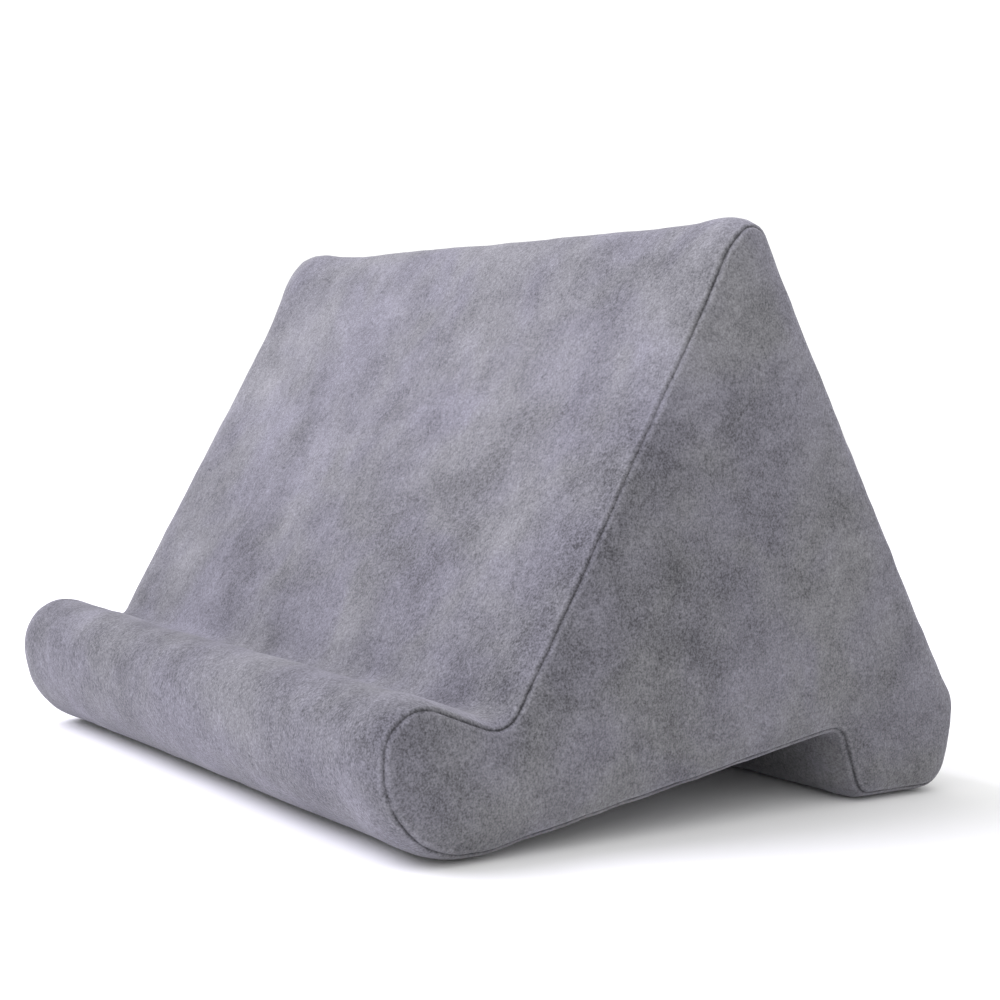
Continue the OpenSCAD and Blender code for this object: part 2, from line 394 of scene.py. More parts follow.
def rolled(t):
    """How far a cloth has rolled down at t from 0 to 1 towards a seam, from 0 to 1."""
    t = min(1.0, max(0.0, t))
    end = 1 - math.sqrt(1 - ROUND_SHARE**2)
    return (1 - math.sqrt(1 - (ROUND_SHARE * t) ** 2)) / end


def seam_inset(s, side):
    """How far the two cloths' edges lie inside the outline beside a seam, before the tuck."""
    at = on_outline(s)[0]
    pull = 0.45 * ripple(*at, size=26, seed=3 + side)
    pull += 0.22 * ripple(*at, size=9, seed=9 + side)
    return SEAM_INSET + pull


def near_brow(at, reach):
    """How near a point of the outline's plane is to the brow, from 0 to 1."""
    return bell(math.hypot(at[0] - BROW_AT - BROW_PAST[0], at[1] - BROW_H - BROW_PAST[1]), reach)


def end_pull(side, at):
    """How far the left end of the stand is drawn in round the roll, less how far it stands out."""
    if side > 0:
        return 0.0
    away = math.hypot(at[0] - ROLL_AT[0], at[1] - ROLL_AT[1])
    return ROLL_DRAW * bell(away, ROLL_REACH, 4) - BROW_OUT * near_brow(at, BROW_OUT_REACH)


def corner_fill(side, x, at):
    """How far the cover stands out at the brow and the heel, beside the seams."""
    from_heel = math.hypot(at[0] - HEEL_FILL_AT[0], at[1] - HEEL_FILL_AT[1])
    height = BROW_FILL[side] * near_brow(at, BROW_FILL_REACH)
    height += HEEL_FILL * bell(from_heel, HEEL_FILL_REACH)
    return height * bell(SEAM_X - abs(x), FILL_REACH)


def side_of(x):
    """1 on the right half of the stand and -1 on the left."""
    return 1 if x > 0 else -1


def placed(x, at):
    """A place of the cover in metres, with its end drawn in and a seam that wanders a little."""
    side = side_of(x)
    share = min(1.0, abs(x) / SEAM_X)
    wander = 0.35 * seam_ripple(at, side, size=14, seed=80)
    wander += 0.12 * seam_ripple(at, side, size=4.5, seed=81)
    return to_world(x - side * (end_pull(side, at) + wander) * share**6, at)


def painted_seam_shading_at(from_seam, s, side):
    """How dark the pile is painted beside a seam: 1 for painted shade deep in its crease, below 0 for a
    painted highlight on the edge's rim.
    """
    at = on_outline(s)[0]
    depth = 0.85 + 0.5 * seam_ripple(at, side, size=24, seed=70)
    depth *= 0.8 + 0.8 * seam_ripple(at, side, size=2.6, seed=71)
    depth *= 1 - FADE * bell(at[1] - FADE_H, FADE_REACH)
    return depth * bell(from_seam, PAINTED_SHADE_REACH) - PAINTED_RIM_LIGHT * bell(from_seam - CREASE_RIM, 0.5)


def hem_drop(x, s):
    """How far the cloth rolls in at the zipper's opening, and along its topstitching."""
    away = math.hypot(max(0.0, abs(x) - GAP_HALF_L), max(0.0, from_zip(s) - GAP_HALF_W))
    edge = HEM_ROLL * rolled(1 - away / HEM_REACH) if away < HEM_REACH else 0.0
    return edge + HEM_LINE_DIP * bell(away - HEM_LINE, HEM_LINE_REACH)


def pucker_share(from_seam):
    """How strong the puckers are: none in the seam, most just beside it, and less further off."""
    return math.exp(-from_seam / PUCKER_REACH) * (1 - math.exp(-from_seam / PUCKER_START))


def cover_inset(x, s):
    """How far the wrap's surface lies inside the outline at x across and s round it."""
    side = side_of(x)
    from_seam = SEAM_X - abs(x)
    inset = seam_inset(s, side) * rolled(1 - from_seam / SEAM_ROUND)
    inset += TUCK * math.exp(-from_seam / TUCK_REACH)
    at = on_outline(s)[0]
    soft = 0.75 * ripple(x, *at, size=62, seed=1)
    soft += 0.4 * ripple(x, *at, size=21, seed=2)
    fine = 0.12 * ripple(x, *at, size=6, seed=4)
    pucker = 0.5 * seam_ripple(at, side, size=PUCKER_SIZE, seed=6) * pucker_share(from_seam)
    swell = SWELL * bell(from_seam - SWELL_AT, SWELL_REACH)
    rim = RIM_HEIGHT * bell(from_seam - CREASE_RIM, RIM_REACH)
    loose = 0.25 + 0.75 * smooth_step(at[1] / CALM_H)
    inset -= (soft * smooth_step(from_seam / 6) + fine + pucker + swell + rim) * loose
    return inset + hem_drop(x, s) - corner_fill(side, x, at)


def grid_across():
    """Places across the wrap, closer together near the seams, with the ends of the opening."""
    steps = (0, 0.1, 0.22, 0.4, 0.65, 1.0, 1.7, 2.6, 3.7, 5.0, 6.6, 8.4, 10.4)
    near = [SEAM_X - d for d in steps]
    outer = spaced(GAP_HALF_L + 2.6, near[-1], 2.4)[:-1]
    hem = [GAP_HALF_L, GAP_HALF_L + 0.4, GAP_HALF_L + 1.1, GAP_HALF_L + 1.8]
    inner = spaced(0, GAP_HALF_L, 3.0)[1:-1]
    half = inner + hem + outer + near[::-1]
    return mirrored(half)


def grid_around():
    """Places round the wrap from one edge of the opening, round the stand, to the other."""
    hem = [0, 0.4, 1.1, 1.8, 2.6]
    first = ZIP_S + GAP_HALF_W
    last = ZIP_S - GAP_HALF_W + AROUND
    middle = spaced(first + 4.2, last - 4.2, 2.1)
    return [first + d for d in hem] + middle + [last - d for d in reversed(hem)]


def make_wrap():
    """The long strip that goes round the stand, with a slot for the zipper."""
    across, around = grid_across(), grid_around()
    slot = spaced(ZIP_S - GAP_HALF_W, ZIP_S + GAP_HALF_W, 2.0)[1:-1]
    rows = around + [s + AROUND for s in slot]
    count = len(rows)
    # Painted shade in the seams' creases and painted highlight on their rims, one value per vertex
    painted_seam_shading = []

    def surface(extra, ends):
        """One face of the cloth: extra is its depth, and ends shortens it at the seams."""
        out = []
        for s in rows:
            point, normal = on_outline(s)
            for x in across:
                inset = cover_inset(x, s) + extra
                painted_seam_shading.append(painted_seam_shading_at(SEAM_X - abs(x), s, side_of(x)))
                reach = x * (1 - ends / abs(x)) if abs(abs(x) - SEAM_X) < 1e-6 else x
                place = placed(reach, point - normal * inset)
                place.z = max(place.z, 0.0)
                out.append(place)
        return out

    width = len(across)
    outer, inner = surface(0, 0), surface(COVER_T, 0.3)
    shift = len(outer)
    low = across.index(-GAP_HALF_L)
    high = across.index(GAP_HALF_L)
    faces, used = [], set()
    for i in range(count):
        for k in range(width - 1):
            after = (i + 1) % count
            in_slot = i >= len(around) - 1
            if in_slot and low <= k < high:
                continue
            quad = [i * width + k, after * width + k, after * width + k + 1, i * width + k + 1]
            faces.append(quad)
            faces.append([shift + v for v in reversed(quad)])
            for a, b in zip(quad, quad[1:] + quad[:1]):
                used.symmetric_difference_update({(min(a, b), max(a, b))})
    faces += [[a, b, shift + b, shift + a] for a, b in sorted(used)]
    kept = sorted({v for face in faces for v in face})
    number = {v: i for i, v in enumerate(kept)}
    both = outer + inner
    return make_piece(
        "velvet_wrap",
        [both[v] for v in kept],
        [[number[v] for v in face] for face in faces],
        "stand",
        "wrap_panel",
        painted_seam_shading=[painted_seam_shading[v] for v in kept],
    )


def make_side_panel(side, name, node):
    """One shaped end panel, crowned over the foam and rolled in to its seam.

    Its rings follow the edge as far as they stay clear of each other, and a lattice fills the rest."""
    count = round(AROUND / 2.0)
    ring_s = [AROUND * i / count for i in range(count)]
    edge = []
    for s in ring_s:
        point, normal = on_outline(s)
        edge.append(point - normal * (seam_inset(s, side) + 0.2 - corner_fill(side, SEAM_X, point)))
    edge = np.array(edge)
    normals = np.array([on_outline(s)[1] for s in ring_s])
    points, depth, place_s = list(edge), [0.0] * count, list(ring_s)
    for inset in (0.1, 0.22, 0.4, 0.65, 1.0, 1.8, 2.8, 4.0, 5.4, 7.0, 8.8):
        for i in range(count):
            at = edge[i] - normals[i] * inset
            if np.linalg.norm(edge - at, axis=1).min() > 0.97 * inset:
                points.append(at)
                depth.append(inset)
                place_s.append(ring_s[i])
    step, lattice_from = 2.4, 10.2
    lattice = []
    for row, z in enumerate(np.arange(0, STAND_H, step * 0.866)):
        for d in np.arange(0, STAND_D + step, step):
            lattice.append((d + (row % 2) * step / 2, z))
    for at in np.array(lattice):
        near = np.linalg.norm(edge - at, axis=1).min()
        if near > lattice_from and inside(at, edge):
            points.append(at)
            depth.append(near)
            place_s.append(0.0)
    edges = [(i, (i + 1) % count) for i in range(count)]
    flat = [Vector((float(p[0]), float(p[1]))) for p in points]
    found, _, triangles, _, _, _ = delaunay_2d_cdt(flat, edges, [], 1, 1e-6)
    assert len(found) == len(flat)
    outer, inner = [], []
    for i, at in enumerate(flat):
        near = depth[i]
        rise = 1 - rolled(1 - near / PANEL_ROUND)
        crown = 2.3 * rise + 1.3 * (1 - math.exp(-near / 45)) - TUCK * math.exp(-near / TUCK_REACH)
        soft = 0.7 * ripple(*at, size=58, seed=20 + side)
        soft += 0.3 * ripple(*at, size=20, seed=23 + side)
        pucker = 0.4 * ripple(*at, size=PUCKER_SIZE, seed=26 + side) * pucker_share(near)
        fine = 0.1 * ripple(*at, size=6, seed=29)
        crown += (soft * smooth_step(near / 8) + pucker) + fine * rise
        crown += 1.6 * RIM_HEIGHT * bell(near - CREASE_RIM, RIM_REACH)
        outer.append(placed(side * (SEAM_X + crown), at))
        slack = math.exp(-near / 2.0)
        shrunk = np.array(at)
        if i < count:
            shrunk = shrunk - normals[i] * 0.6
        inner.append(placed(side * (SEAM_X + crown - COVER_T + 0.6 * slack), shrunk))
    shift = len(outer)
    faces = [list(t) for t in triangles]
    faces += [[shift + v for v in reversed(t)] for t in triangles]
    faces += band(0, shift, count)
    # Painted shade in the seam's crease and painted highlight on its rim, one value per vertex
    painted_seam_shading = [painted_seam_shading_at(near, s, side) for near, s in zip(depth, place_s)]
    return make_piece(name, outer + inner, faces, "stand", node, painted_seam_shading=painted_seam_shading + painted_seam_shading)


def inside(at, edge):
    """Whether a point is inside a closed ring of points."""
    a, b = edge, np.roll(edge, -1, axis=0)
    crosses = (a[:, 1] > at[1]) != (b[:, 1] > at[1])
    with np.errstate(divide="ignore", invalid="ignore"):
        x = a[:, 0] + (at[1] - a[:, 1]) * (b[:, 0] - a[:, 0]) / (b[:, 1] - a[:, 1])
    return bool((crosses & (at[0] < x)).sum() % 2)


# ---- The foam and the seams ----

# The foam's channel behind the zipper, the gaps that keep the foam off the cover, and the seams'
# stitches
POCKET_HALF_W = 15
POCKET_DEPTH = 5.0
POCKET_SHALLOW = 2.0
POCKET_PAST = 9.5
FOAM_GAP = 0.5
FOAM_X = SEAM_X - 0.9
SEAM_PITCH = 3.2


def make_foam():
    """The foam block, a little inside the cover, with its channel for the zipper."""
    around = spaced(ZIP_S + POCKET_HALF_W + 1, ZIP_S - POCKET_HALF_W - 1 + AROUND, 3.0)
    channel = [0.0, 9.7, 10.4, 15.0, 19.6, 20.3, 30.0]
    around += [ZIP_S + AROUND - POCKET_HALF_W + d for d in channel]
    near = [FOAM_X - d for d in (0.9, 2.2, 4.0, 6.5, 9.5)]
    half = spaced(0, near[-1], 4.0)[1:-1] + near[::-1]
    across = mirrored(half)
    vertices = []
    for s in around:
        point, normal = on_outline(s)
        off = from_zip(s)
        for x in across:
            from_end = FOAM_X - abs(x)
            inset = COVER_T + FOAM_GAP + SEAM_INSET * rolled(1 - from_end / SEAM_ROUND)
            if off < POCKET_HALF_W + 0.1 and abs(x) < GAP_HALF_L + POCKET_PAST:
                inset = max(inset, POCKET_SHALLOW if off > GAP_HALF_W + 0.1 else POCKET_DEPTH)
            inset += 0.12 * ripple(x, *point, size=5, seed=40)
            vertices.append(placed(x, point - normal * inset))
    width, count = len(across), len(around)
    faces = [
        [i * width + k, (i + 1) % count * width + k, (i + 1) % count * width + k + 1, i * width + k + 1]
        for i in range(count)
        for k in range(width - 1)
    ]
    for k, side in ((0, -1), (width - 1, 1)):
        ring = [i * width + k for i in range(count)]
        flat = [Vector((vertices[v].y, vertices[v].z)) for v in ring]
        edges = [(i, (i + 1) % count) for i in range(count)]
        low, high = np.min(flat, axis=0), np.max(flat, axis=0)
        border = np.array(flat)
        step = 8 * MM
        for y in np.arange(low[0], high[0], step):
            for z in np.arange(low[1], high[1], step):
                at = np.array((y, z))
                if np.linalg.norm(border - at, axis=1).min() > step / 2 and inside(at, border):
                    flat.append(Vector(at))
        found, _, triangles, _, _, _ = delaunay_2d_cdt(flat, edges, [], 1, 1e-7)
        assert len(found) == len(flat)
        first = len(vertices)
        for at in flat[count:]:
            bump = 0.2 * ripple(at[0] / MM, at[1] / MM, size=9, seed=44 + side)
            vertices.append(placed(side * (FOAM_X - 0.5 + bump), (at[0] / MM + MID_D, at[1] / MM)))
        number = ring + list(range(first, len(vertices)))
        faces += [[number[v] for v in t] for t in triangles]
    return make_piece("foam_block", vertices, faces, "stand", "foam_core")


def make_seam_thread(side, name, node):
    """The seam's stitches, sunk in the crease between the wrap and a side panel."""
    shapes = Shapes()
    count = round(AROUND / SEAM_PITCH)
    for i in range(count):
        s = AROUND * i / count
        ends = []
        for at in (s - SEAM_PITCH * 0.36, s + SEAM_PITCH * 0.36):
            point, normal = on_outline(at)
            inset = seam_inset(at, side) + 0.75 - corner_fill(side, SEAM_X, point)
            ends.append(placed(side * (SEAM_X - 0.2), point - normal * inset))
        _, normal = on_outline(s)
        out = Vector((0.5 * side, normal[0], normal[1])).normalized()
        shapes.stitch(*ends, 0.22 * MM, out, 0.3 * MM)
    return make_piece(name, shapes.vertices, shapes.faces, "stand", node)


# ---- The zipper. Places are x across, up the back face from the zipper's middle, and out of it ----

# Tapes and teeth
TAPE_IN = 1.15
TAPE_W = 13
TAPE_TOP = -1.2
TAPE_T = 0.6
TOOTH_TOP = 0.8
TOOTH_PITCH = 1.8
TOOTH_HOOK = 0.6
CHAIN_HALF_W = 2.6
WIRE_R = 0.38
CORE_R = 0.42

# Slider and pull
SLIDER_X = (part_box("zipper_slider")[0].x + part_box("zipper_slider")[1].x) / 2 / MM
SLIDER_HALF_L = 5.75
SLIDER_HALF_W = 4.5
PLATE_T = 0.8
SLIDER_TOP = 1.8
SLIDER_UNDER = -2.8
PIN_OUT = 2.95
PIN_R = 0.7
CROWN_TOP = 5.1
CROWN_HALF_L = 3.1
CROWN_R = 0.52
CROWN_FLAT = 2.1
PULL_L = 26
PULL_HALF_W = 3.4
PULL_HALF_T = 0.7


def rounded(corners, radius, steps=6):
    """A closed outline through the corners, each rounded with the same radius."""
    count = len(corners)
    out = []
    for i in range(count):
        at, last, after = (np.array(corners[(i + k) % count], float) for k in (0, -1, 1))
        a, b = last - at, after - at
        a, b = a / np.linalg.norm(a), b / np.linalg.norm(b)
        half = math.acos(max(-1, min(1, float(a @ b)))) / 2
        reach = radius / math.tan(half)
        for k in range(steps + 1):
            t = k / steps
            out.append((1 - t) ** 2 * (at + a * reach) + 2 * t * (1 - t) * at + t**2 * (at + b * reach))
    return np.array(out)


def ring_normals(ring):
    """The outward normal at each point of a closed ring."""
    way = np.roll(ring, -1, axis=0) - np.roll(ring, 1, axis=0)
    way = way / np.maximum(np.linalg.norm(way, axis=1), 1e-9)[:, None]
    area = float(np.cross(ring, np.roll(ring, -1, axis=0)).sum())
    return np.stack([way[:, 1], -way[:, 0]], axis=1) * math.copysign(1, area)


def plate(shapes, place, ring, low, high, bevel, hole=None):
    """A flat plate with softened edges, from a ring of (x, up) points, with or without a hole."""
    count = len(ring)
    levels = [(low, bevel), (low + 0.3 * bevel, 0.3 * bevel), (low + bevel, 0.0)]
    levels += [(high - bevel, 0.0), (high - 0.3 * bevel, 0.3 * bevel), (high, bevel)]
    vertices, faces = [], []
    for loop, sign in ((ring, -1), (hole, 1)):
        if loop is None:
            continue
        first = len(vertices)
        normals = ring_normals(loop)
        for out, inset in levels:
            vertices += [place(*(p + n * inset * sign), out) for p, n in zip(loop, normals)]
        for j in range(len(levels) - 1):
            faces += band(first + j * count, first + (j + 1) * count, count)
    top = (len(levels) - 1) * count
    if hole is None:
        faces += [list(range(count)), [top + i for i in range(count)]]
    else:
        inner = len(levels) * count
        for base in (0, top):
            faces += band(base, inner + base, count)
    shapes.add(vertices, faces)


def make_tape(side, name, node):
    """One woven tape of the zipper, with a thicker edge beside the teeth."""
    half_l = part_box(node)[1].x / MM
    ups = [0, 0.25, 0.7, 1.3, 1.7, 3, 6, 9, 12, TAPE_W - 0.5, TAPE_W]
    xs = spaced(-half_l, half_l, 3.0)
    vertices = []
    for layer in (0, 1):
        for x in xs:
            for up in ups:
                edge = 0.12 if up in (ups[0], ups[-1]) else 0.0
                bead = 0.12 * smooth_step(1 - abs(up - 0.7) / 0.9)
                wave = 0.06 * ripple(x, up, size=11, seed=50 + side)
                out = TAPE_TOP - edge + wave if layer == 0 else TAPE_TOP - TAPE_T + edge + wave - bead
                vertices.append(on_back(x, side * (TAPE_IN + up), out))
    return make_piece(name, vertices, slab_faces(len(xs), len(ups)), "stand", node)


def signed_power(value, power):
    """A power of a value's size, with the value's sign."""
    return math.copysign(abs(value) ** power, value)


def make_coil(side, name, node):
    """One row of nylon teeth: a flattened coil on a cord, whose loops hook into the other row's."""
    first, last = -GAP_HALF_L + 3.2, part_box(node)[1].x / MM
    turns = int((last - first) / TOOTH_PITCH)
    steps = 14
    half_turn = 0.5 if side < 0 else 0.0
    mid_up, reach_up = (CHAIN_HALF_W - TOOTH_HOOK) / 2, (CHAIN_HALF_W + TOOTH_HOOK) / 2 - WIRE_R
    mid_out, reach_out = (TOOTH_TOP + TAPE_TOP) / 2, (TOOTH_TOP - TAPE_TOP) / 2 - WIRE_R
    path = []
    for i in range(turns * steps + 1):
        t = 2 * math.pi * i / steps
        x = first + WIRE_R + (i / steps + half_turn) * TOOTH_PITCH * 0.995
        up = mid_up - reach_up * signed_power(math.cos(t), 0.8)
        out = mid_out + reach_out * signed_power(math.sin(t), 0.6)
        path.append(on_back(x, side * up, out))
    shapes = Shapes()
    shapes.tube(path, [WIRE_R * MM] * len(path), sides=6, up=(1, 0, 0))
    core_up = side * (CHAIN_HALF_W - WIRE_R - 0.6)
    core = [on_back(x, core_up, mid_out) for x in spaced(first, last, 4)]
    shapes.tube(core, [CORE_R * MM] * len(core), sides=8, up=BACK_UP)
    return make_piece(name, shapes.vertices, shapes.faces, "stand", node)


def make_slider():
    """The slider: two shaped plates on a divider, side flanges, and a crown for the pull."""
    shapes = Shapes()

    def place(x, up, out):
        return on_back(SLIDER_X + x, up, out)

    nose, tail, wide = SLIDER_HALF_L, -SLIDER_HALF_L, SLIDER_HALF_W
    nose_w, tail_w = 2.6, 3.7
    shield = [(nose, -nose_w), (nose, nose_w), (2.4, wide), (-0.8, wide)]
    shield += [(tail, tail_w), (tail, -tail_w), (-0.8, -wide), (2.4, -wide)]
    shield = rounded(shield, 0.9)
    plate(shapes, place, shield, SLIDER_TOP - PLATE_T, SLIDER_TOP, 0.22)
    plate(shapes, place, shield, SLIDER_UNDER, SLIDER_UNDER + PLATE_T, 0.22)
    post = [(nose - 0.1, -1.1), (nose - 0.1, 1.1), (nose - 2.4, 1.1), (nose - 3.6, 0), (nose - 2.4, -1.1)]
    plate(shapes, place, rounded(post, 0.35), SLIDER_UNDER + 0.3, SLIDER_TOP - 0.3, 0.05)
    for side in (-1, 1):
        rail = [(1.9, wide - 0.9), (1.9, wide - 0.05), (-0.8, wide - 0.05)]
        rail += [(tail + 0.1, 3.65), (tail + 0.1, 2.85), (-0.9, wide - 0.9)]
        rail = rounded([(x, up * side) for x, up in rail], 0.12, steps=2)
        plate(shapes, place, rail, TAPE_TOP + 0.2, SLIDER_TOP - 0.2, 0.1)
    foot, rise = SLIDER_TOP - 0.4, CROWN_TOP - 0.5
    steps = 24
    arch = []
    for i in range(steps + 1):
        t = math.pi * i / steps
        x = -CROWN_HALF_L * signed_power(math.cos(t), 0.55)
        arch.append(place(x, 0, foot + (rise - foot) * abs(math.sin(t)) ** 0.7))
    shapes.tube(arch, [CROWN_R * MM] * len(arch), sides=12, up=BACK_UP, flat=CROWN_FLAT)
    return make_piece("slider", shapes.vertices, shapes.faces, "zipper_slider", "zipper_slider")


def make_pull():
    """The pull tab: a slotted tab on two arms, with the pin that passes under the crown."""
    shapes = Shapes()

    def place(x, up, out):
        return on_back(SLIDER_X - x, up, PIN_OUT + out)

    wide, steps = PULL_HALF_W, 64
    start, round_from = 4.4, PULL_L - wide
    hole_l, hole_r = 9, 1.3
    ring, hole = [], []
    for i in range(steps):
        t = 2 * math.pi * i / steps
        c, s = math.cos(t), math.sin(t)
        if c > 0:
            x, across = round_from + wide * c, s
        else:
            x = start + (round_from - start) * (1 - min(1, abs(c) * 1.25))
            across = min(1.0, max(-1.0, s / max(abs(s), abs(c) * 0.8, 1e-9)))
        waist = 1 - 0.1 * bell(x - 11, 4.5)
        ring.append((x, wide * across * waist))
        base = round_from if c > 0 else round_from - hole_l
        hole.append((base + hole_r * c, hole_r * s))
    plate(shapes, place, np.array(ring), -PULL_HALF_T, PULL_HALF_T, 0.3, hole=np.array(hole))
    for side in (-1, 1):
        arm = [(-0.75, 1.7), (5.6, 1.7), (5.6, 2.75), (-0.75, 2.75)]
        arm = rounded([(x, up * side) for x, up in arm], 0.3, steps=4)
        plate(shapes, place, arm, -PULL_HALF_T + 0.02, PULL_HALF_T - 0.02, 0.25)
    pin = [place(0, up, 0) for up in (-2.6, -2.5, -2.3, 0, 2.3, 2.5, 2.6)]
    shapes.tube(pin, [r * PIN_R * MM for r in (0.6, 0.9, 1, 1, 1, 0.9, 0.6)], sides=20, up=(1, 0, 0))
    return make_piece("pull_tab", shapes.vertices, shapes.faces, "zipper_pull", "zipper_pull")


def make_stops(name, node, *sides):
    """Metal clamps pressed round the chain: a smooth bar with a bent-in prong at each end."""
    shapes = Shapes()
    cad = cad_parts[node]
    places = [from_back(cad.matrix_world @ vertex.co) for vertex in cad.data.vertices]
    for side in sides:
        part = np.array([p for p in places if p[1] * side >= 0])
        (x0, up0, out0), (x1, up1, out1) = part.min(axis=0), part.max(axis=0)
        ring = rounded([(x0, up0), (x1, up0), (x1, up1), (x0, up1)], 0.55)
        plate(shapes, on_back, ring, out0, out1 - 0.1, 0.4)
        left, right = x0 + 0.35, x1 - 0.35
        for end, back in ((up0, 1), (up1, -1)):
            tip = end + 0.7 * back
            prong = [(left, end), (right, end), (right, tip), (left, tip)]
            plate(shapes, on_back, rounded(prong[::back], 0.2), out0 + 0.2, out1, 0.15)
    return make_piece(name, shapes.vertices, shapes.faces, "stand", node)


# The topstitching and the bar tacks at its ends
STITCH_L = 3
STITCH_GAP = 1
THREAD_R = 0.3
TACK_HALF_L = 0.85
TACK_PITCH = 0.42
THREAD_LIFT = 0.2


def surface_out(x, up):
    """How far out of the back face the cover's surface is at a place near the zipper."""
    return -cover_inset(x, ZIP_S + up)


def thread_ends(x, up, half):
    """The two ends of a stitch on the cover that reaches half to each side of x."""
    return [on_back(v, up, surface_out(v, up) + THREAD_LIFT) for v in (x - half, x + half)]


def make_topstitch(side, name, node):
    """The stitches that hold one tape to the cover, and the dense bar tacks at their ends."""
    shapes = Shapes()
    out = Vector((0, BACK_OUT[0], BACK_OUT[1]))
    line = side * (GAP_HALF_W + HEM_LINE)
    pitch = STITCH_L + STITCH_GAP
    half = (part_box(node)[1].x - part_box(node)[0].x) / 2 / MM
    count = int((2 * (half - 3)) / pitch)
    for i in range(count):
        x = (i - (count - 1) / 2) * pitch
        shapes.stitch(*thread_ends(x, line, STITCH_L / 2), THREAD_R * MM, out, 0.35 * MM)
    for end in (-1, 1):
        x = end * (half - 0.9)
        for up in spaced(0.7, GAP_HALF_W + HEM_LINE, TACK_PITCH):
            shapes.stitch(*thread_ends(x, side * up, TACK_HALF_L), THREAD_R * 0.85 * MM, out, 0.3 * MM)
    return make_piece(name, shapes.vertices, shapes.faces, "stand", node)


LABEL_T = 0.16


def make_label():
    """A blank satin tag, folded in two, that comes out of the left seam above the zipper.

    Its path is a list of (x, height over the cover): out along the cover, round the fold and back."""
    low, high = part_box("care_label")
    fold = high.x / MM
    lowest, highest = Vector((0, high.y, low.z)), Vector((0, low.y, high.z))
    ups = spaced(from_back(lowest)[1], from_back(highest)[1], 1.6)
    across = [(-SEAM_X - 0.1, -0.1)] + [(x, 0.12) for x in spaced(-SEAM_X + 1.0, fold - 1.4, 1.5)]
    under = across + [(fold - 0.6, 0.2), (fold - 0.1, 0.45)]
    back = []
    for x, _ in across[:0:-1]:
        back.append((x, 0.62 + 0.5 * math.sin(math.pi * (x + SEAM_X) / (fold + SEAM_X))))
    path = under + [(fold - 0.6, 0.75)] + back + [(-SEAM_X - 0.05, 0.25)]
    vertices = []
    for layer in (0, 1):
        for j, (x, rise) in enumerate(path):
            last, after = path[max(j - 1, 0)], path[min(j + 1, len(path) - 1)]
            way = np.array((after[0] - last[0], after[1] - last[1]))
            side = np.array((-way[1], way[0])) / np.linalg.norm(way) * LABEL_T * layer
            for up in ups:
                loose = smooth_step((x + SEAM_X) / 20)
                curl = (0.9 + 0.7 * ripple(x, up, size=16, seed=60) + 0.02 * (up - ups[0])) * loose
                out = surface_out(max(x, -SEAM_X + 0.3), up) + rise + curl + side[1]
                vertices.append(on_back(x + side[0], up, out))
    faces = slab_faces(len(path), len(ups))
    return make_piece("satin_label", vertices, faces, "stand", "care_label")


# ---- Materials ----


class Nodes:
    """A material's nodes, made one after another."""

    def __init__(self, name, roughness=0.8, **values):
        self.material = bpy.data.materials.new(name)
        self.material.use_nodes = True
        self.tree = self.material.node_tree
        self.shader = self.tree.nodes["Principled BSDF"]
        self.shader.inputs["Roughness"].default_value = roughness
        for key, value in values.items():
            self.shader.inputs[key.replace("_", " ")].default_value = value
        self.place = self.tree.nodes.new("ShaderNodeTexCoord").outputs["Object"]

    def node(self, kind, inputs=(), **settings):
        made = self.tree.nodes.new(kind)
        for key, value in settings.items():
            setattr(made, key, value)
        for key, value in dict(inputs).items():
            if isinstance(value, bpy.types.NodeSocket):
                self.tree.links.new(value, made.inputs[key])
            else:
                made.inputs[key].default_value = value
        return made

    def mapped(self, scale=(1, 1, 1), turn=(0, 0, 0)):
        inputs = {"Vector": self.place, "Scale": scale, "Rotation": [math.radians(a) for a in turn]}
        return self.node("ShaderNodeMapping", inputs).outputs["Vector"]

    def noise(self, size, detail=2.0, roughness=0.5, bend=0.0, place=None):
        """Noise whose bumps are about size metres across."""
        inputs = {"Vector": place or self.place, "Scale": 0.5 / size, "Detail": detail}
        inputs.update({"Roughness": roughness, "Distortion": bend})
        return self.node("ShaderNodeTexNoise", inputs).outputs["Fac"]

    def wave(self, scale, bands="X", bend=0.0, place=None):
        """Fine parallel bands."""
        inputs = {"Vector": place or self.place, "Scale": scale, "Distortion": bend}
        return self.node("ShaderNodeTexWave", inputs, bands_direction=bands).outputs["Fac"]

    def ramp(self, value, low, high, first=0.0, last=1.0):
        """A smooth step of value from low to high."""
        inputs = {"Value": value, "From Min": low, "From Max": high, "To Min": first, "To Max": last}
        return self.node("ShaderNodeMapRange", inputs, interpolation_type="SMOOTHSTEP").outputs["Result"]

    def math(self, kind, a, b=0.0):
        return self.node("ShaderNodeMath", {0: a, 1: b}, operation=kind).outputs[0]

    def blend(self, a, b, share):
        """Value a with a share of value b in it."""
        return self.math("ADD", self.math("MULTIPLY", a, 1 - share), self.math("MULTIPLY", b, share))

    def mix(self, share, a, b):
        """Colour a with a share of colour b in it."""
        made = self.node("ShaderNodeMix", data_type="RGBA")
        for index, value in ((0, share), (6, a), (7, b)):
            if isinstance(value, bpy.types.NodeSocket):
                self.tree.links.new(value, made.inputs[index])
            else:
                made.inputs[index].default_value = value
        return made.outputs[2]

    def bump(self, height, distance, strength, under=None):
        inputs = {"Height": height, "Distance": distance, "Strength": strength}
        if under is not None:
            inputs["Normal"] = under
        return self.node("ShaderNodeBump", inputs).outputs["Normal"]

    def set(self, key, value):
        """Links a value to an input of the shader."""
        self.tree.links.new(value, self.shader.inputs[key])


def grey(r, g, b):
    """An opaque colour, given as its parts of red, green and blue."""
    return (r, g, b, 1.0)


# Painted light: how much lighter the pile is painted for each metre towards the back, and how dark
# the painted shade in its seams' creases is, both fitted to the photo's brightness
PAINTED_LIGHT_DRIFT = 1.3
PAINTED_SEAM_TONE = 0.62
PAINTED_SEAM_DARK = 0.8


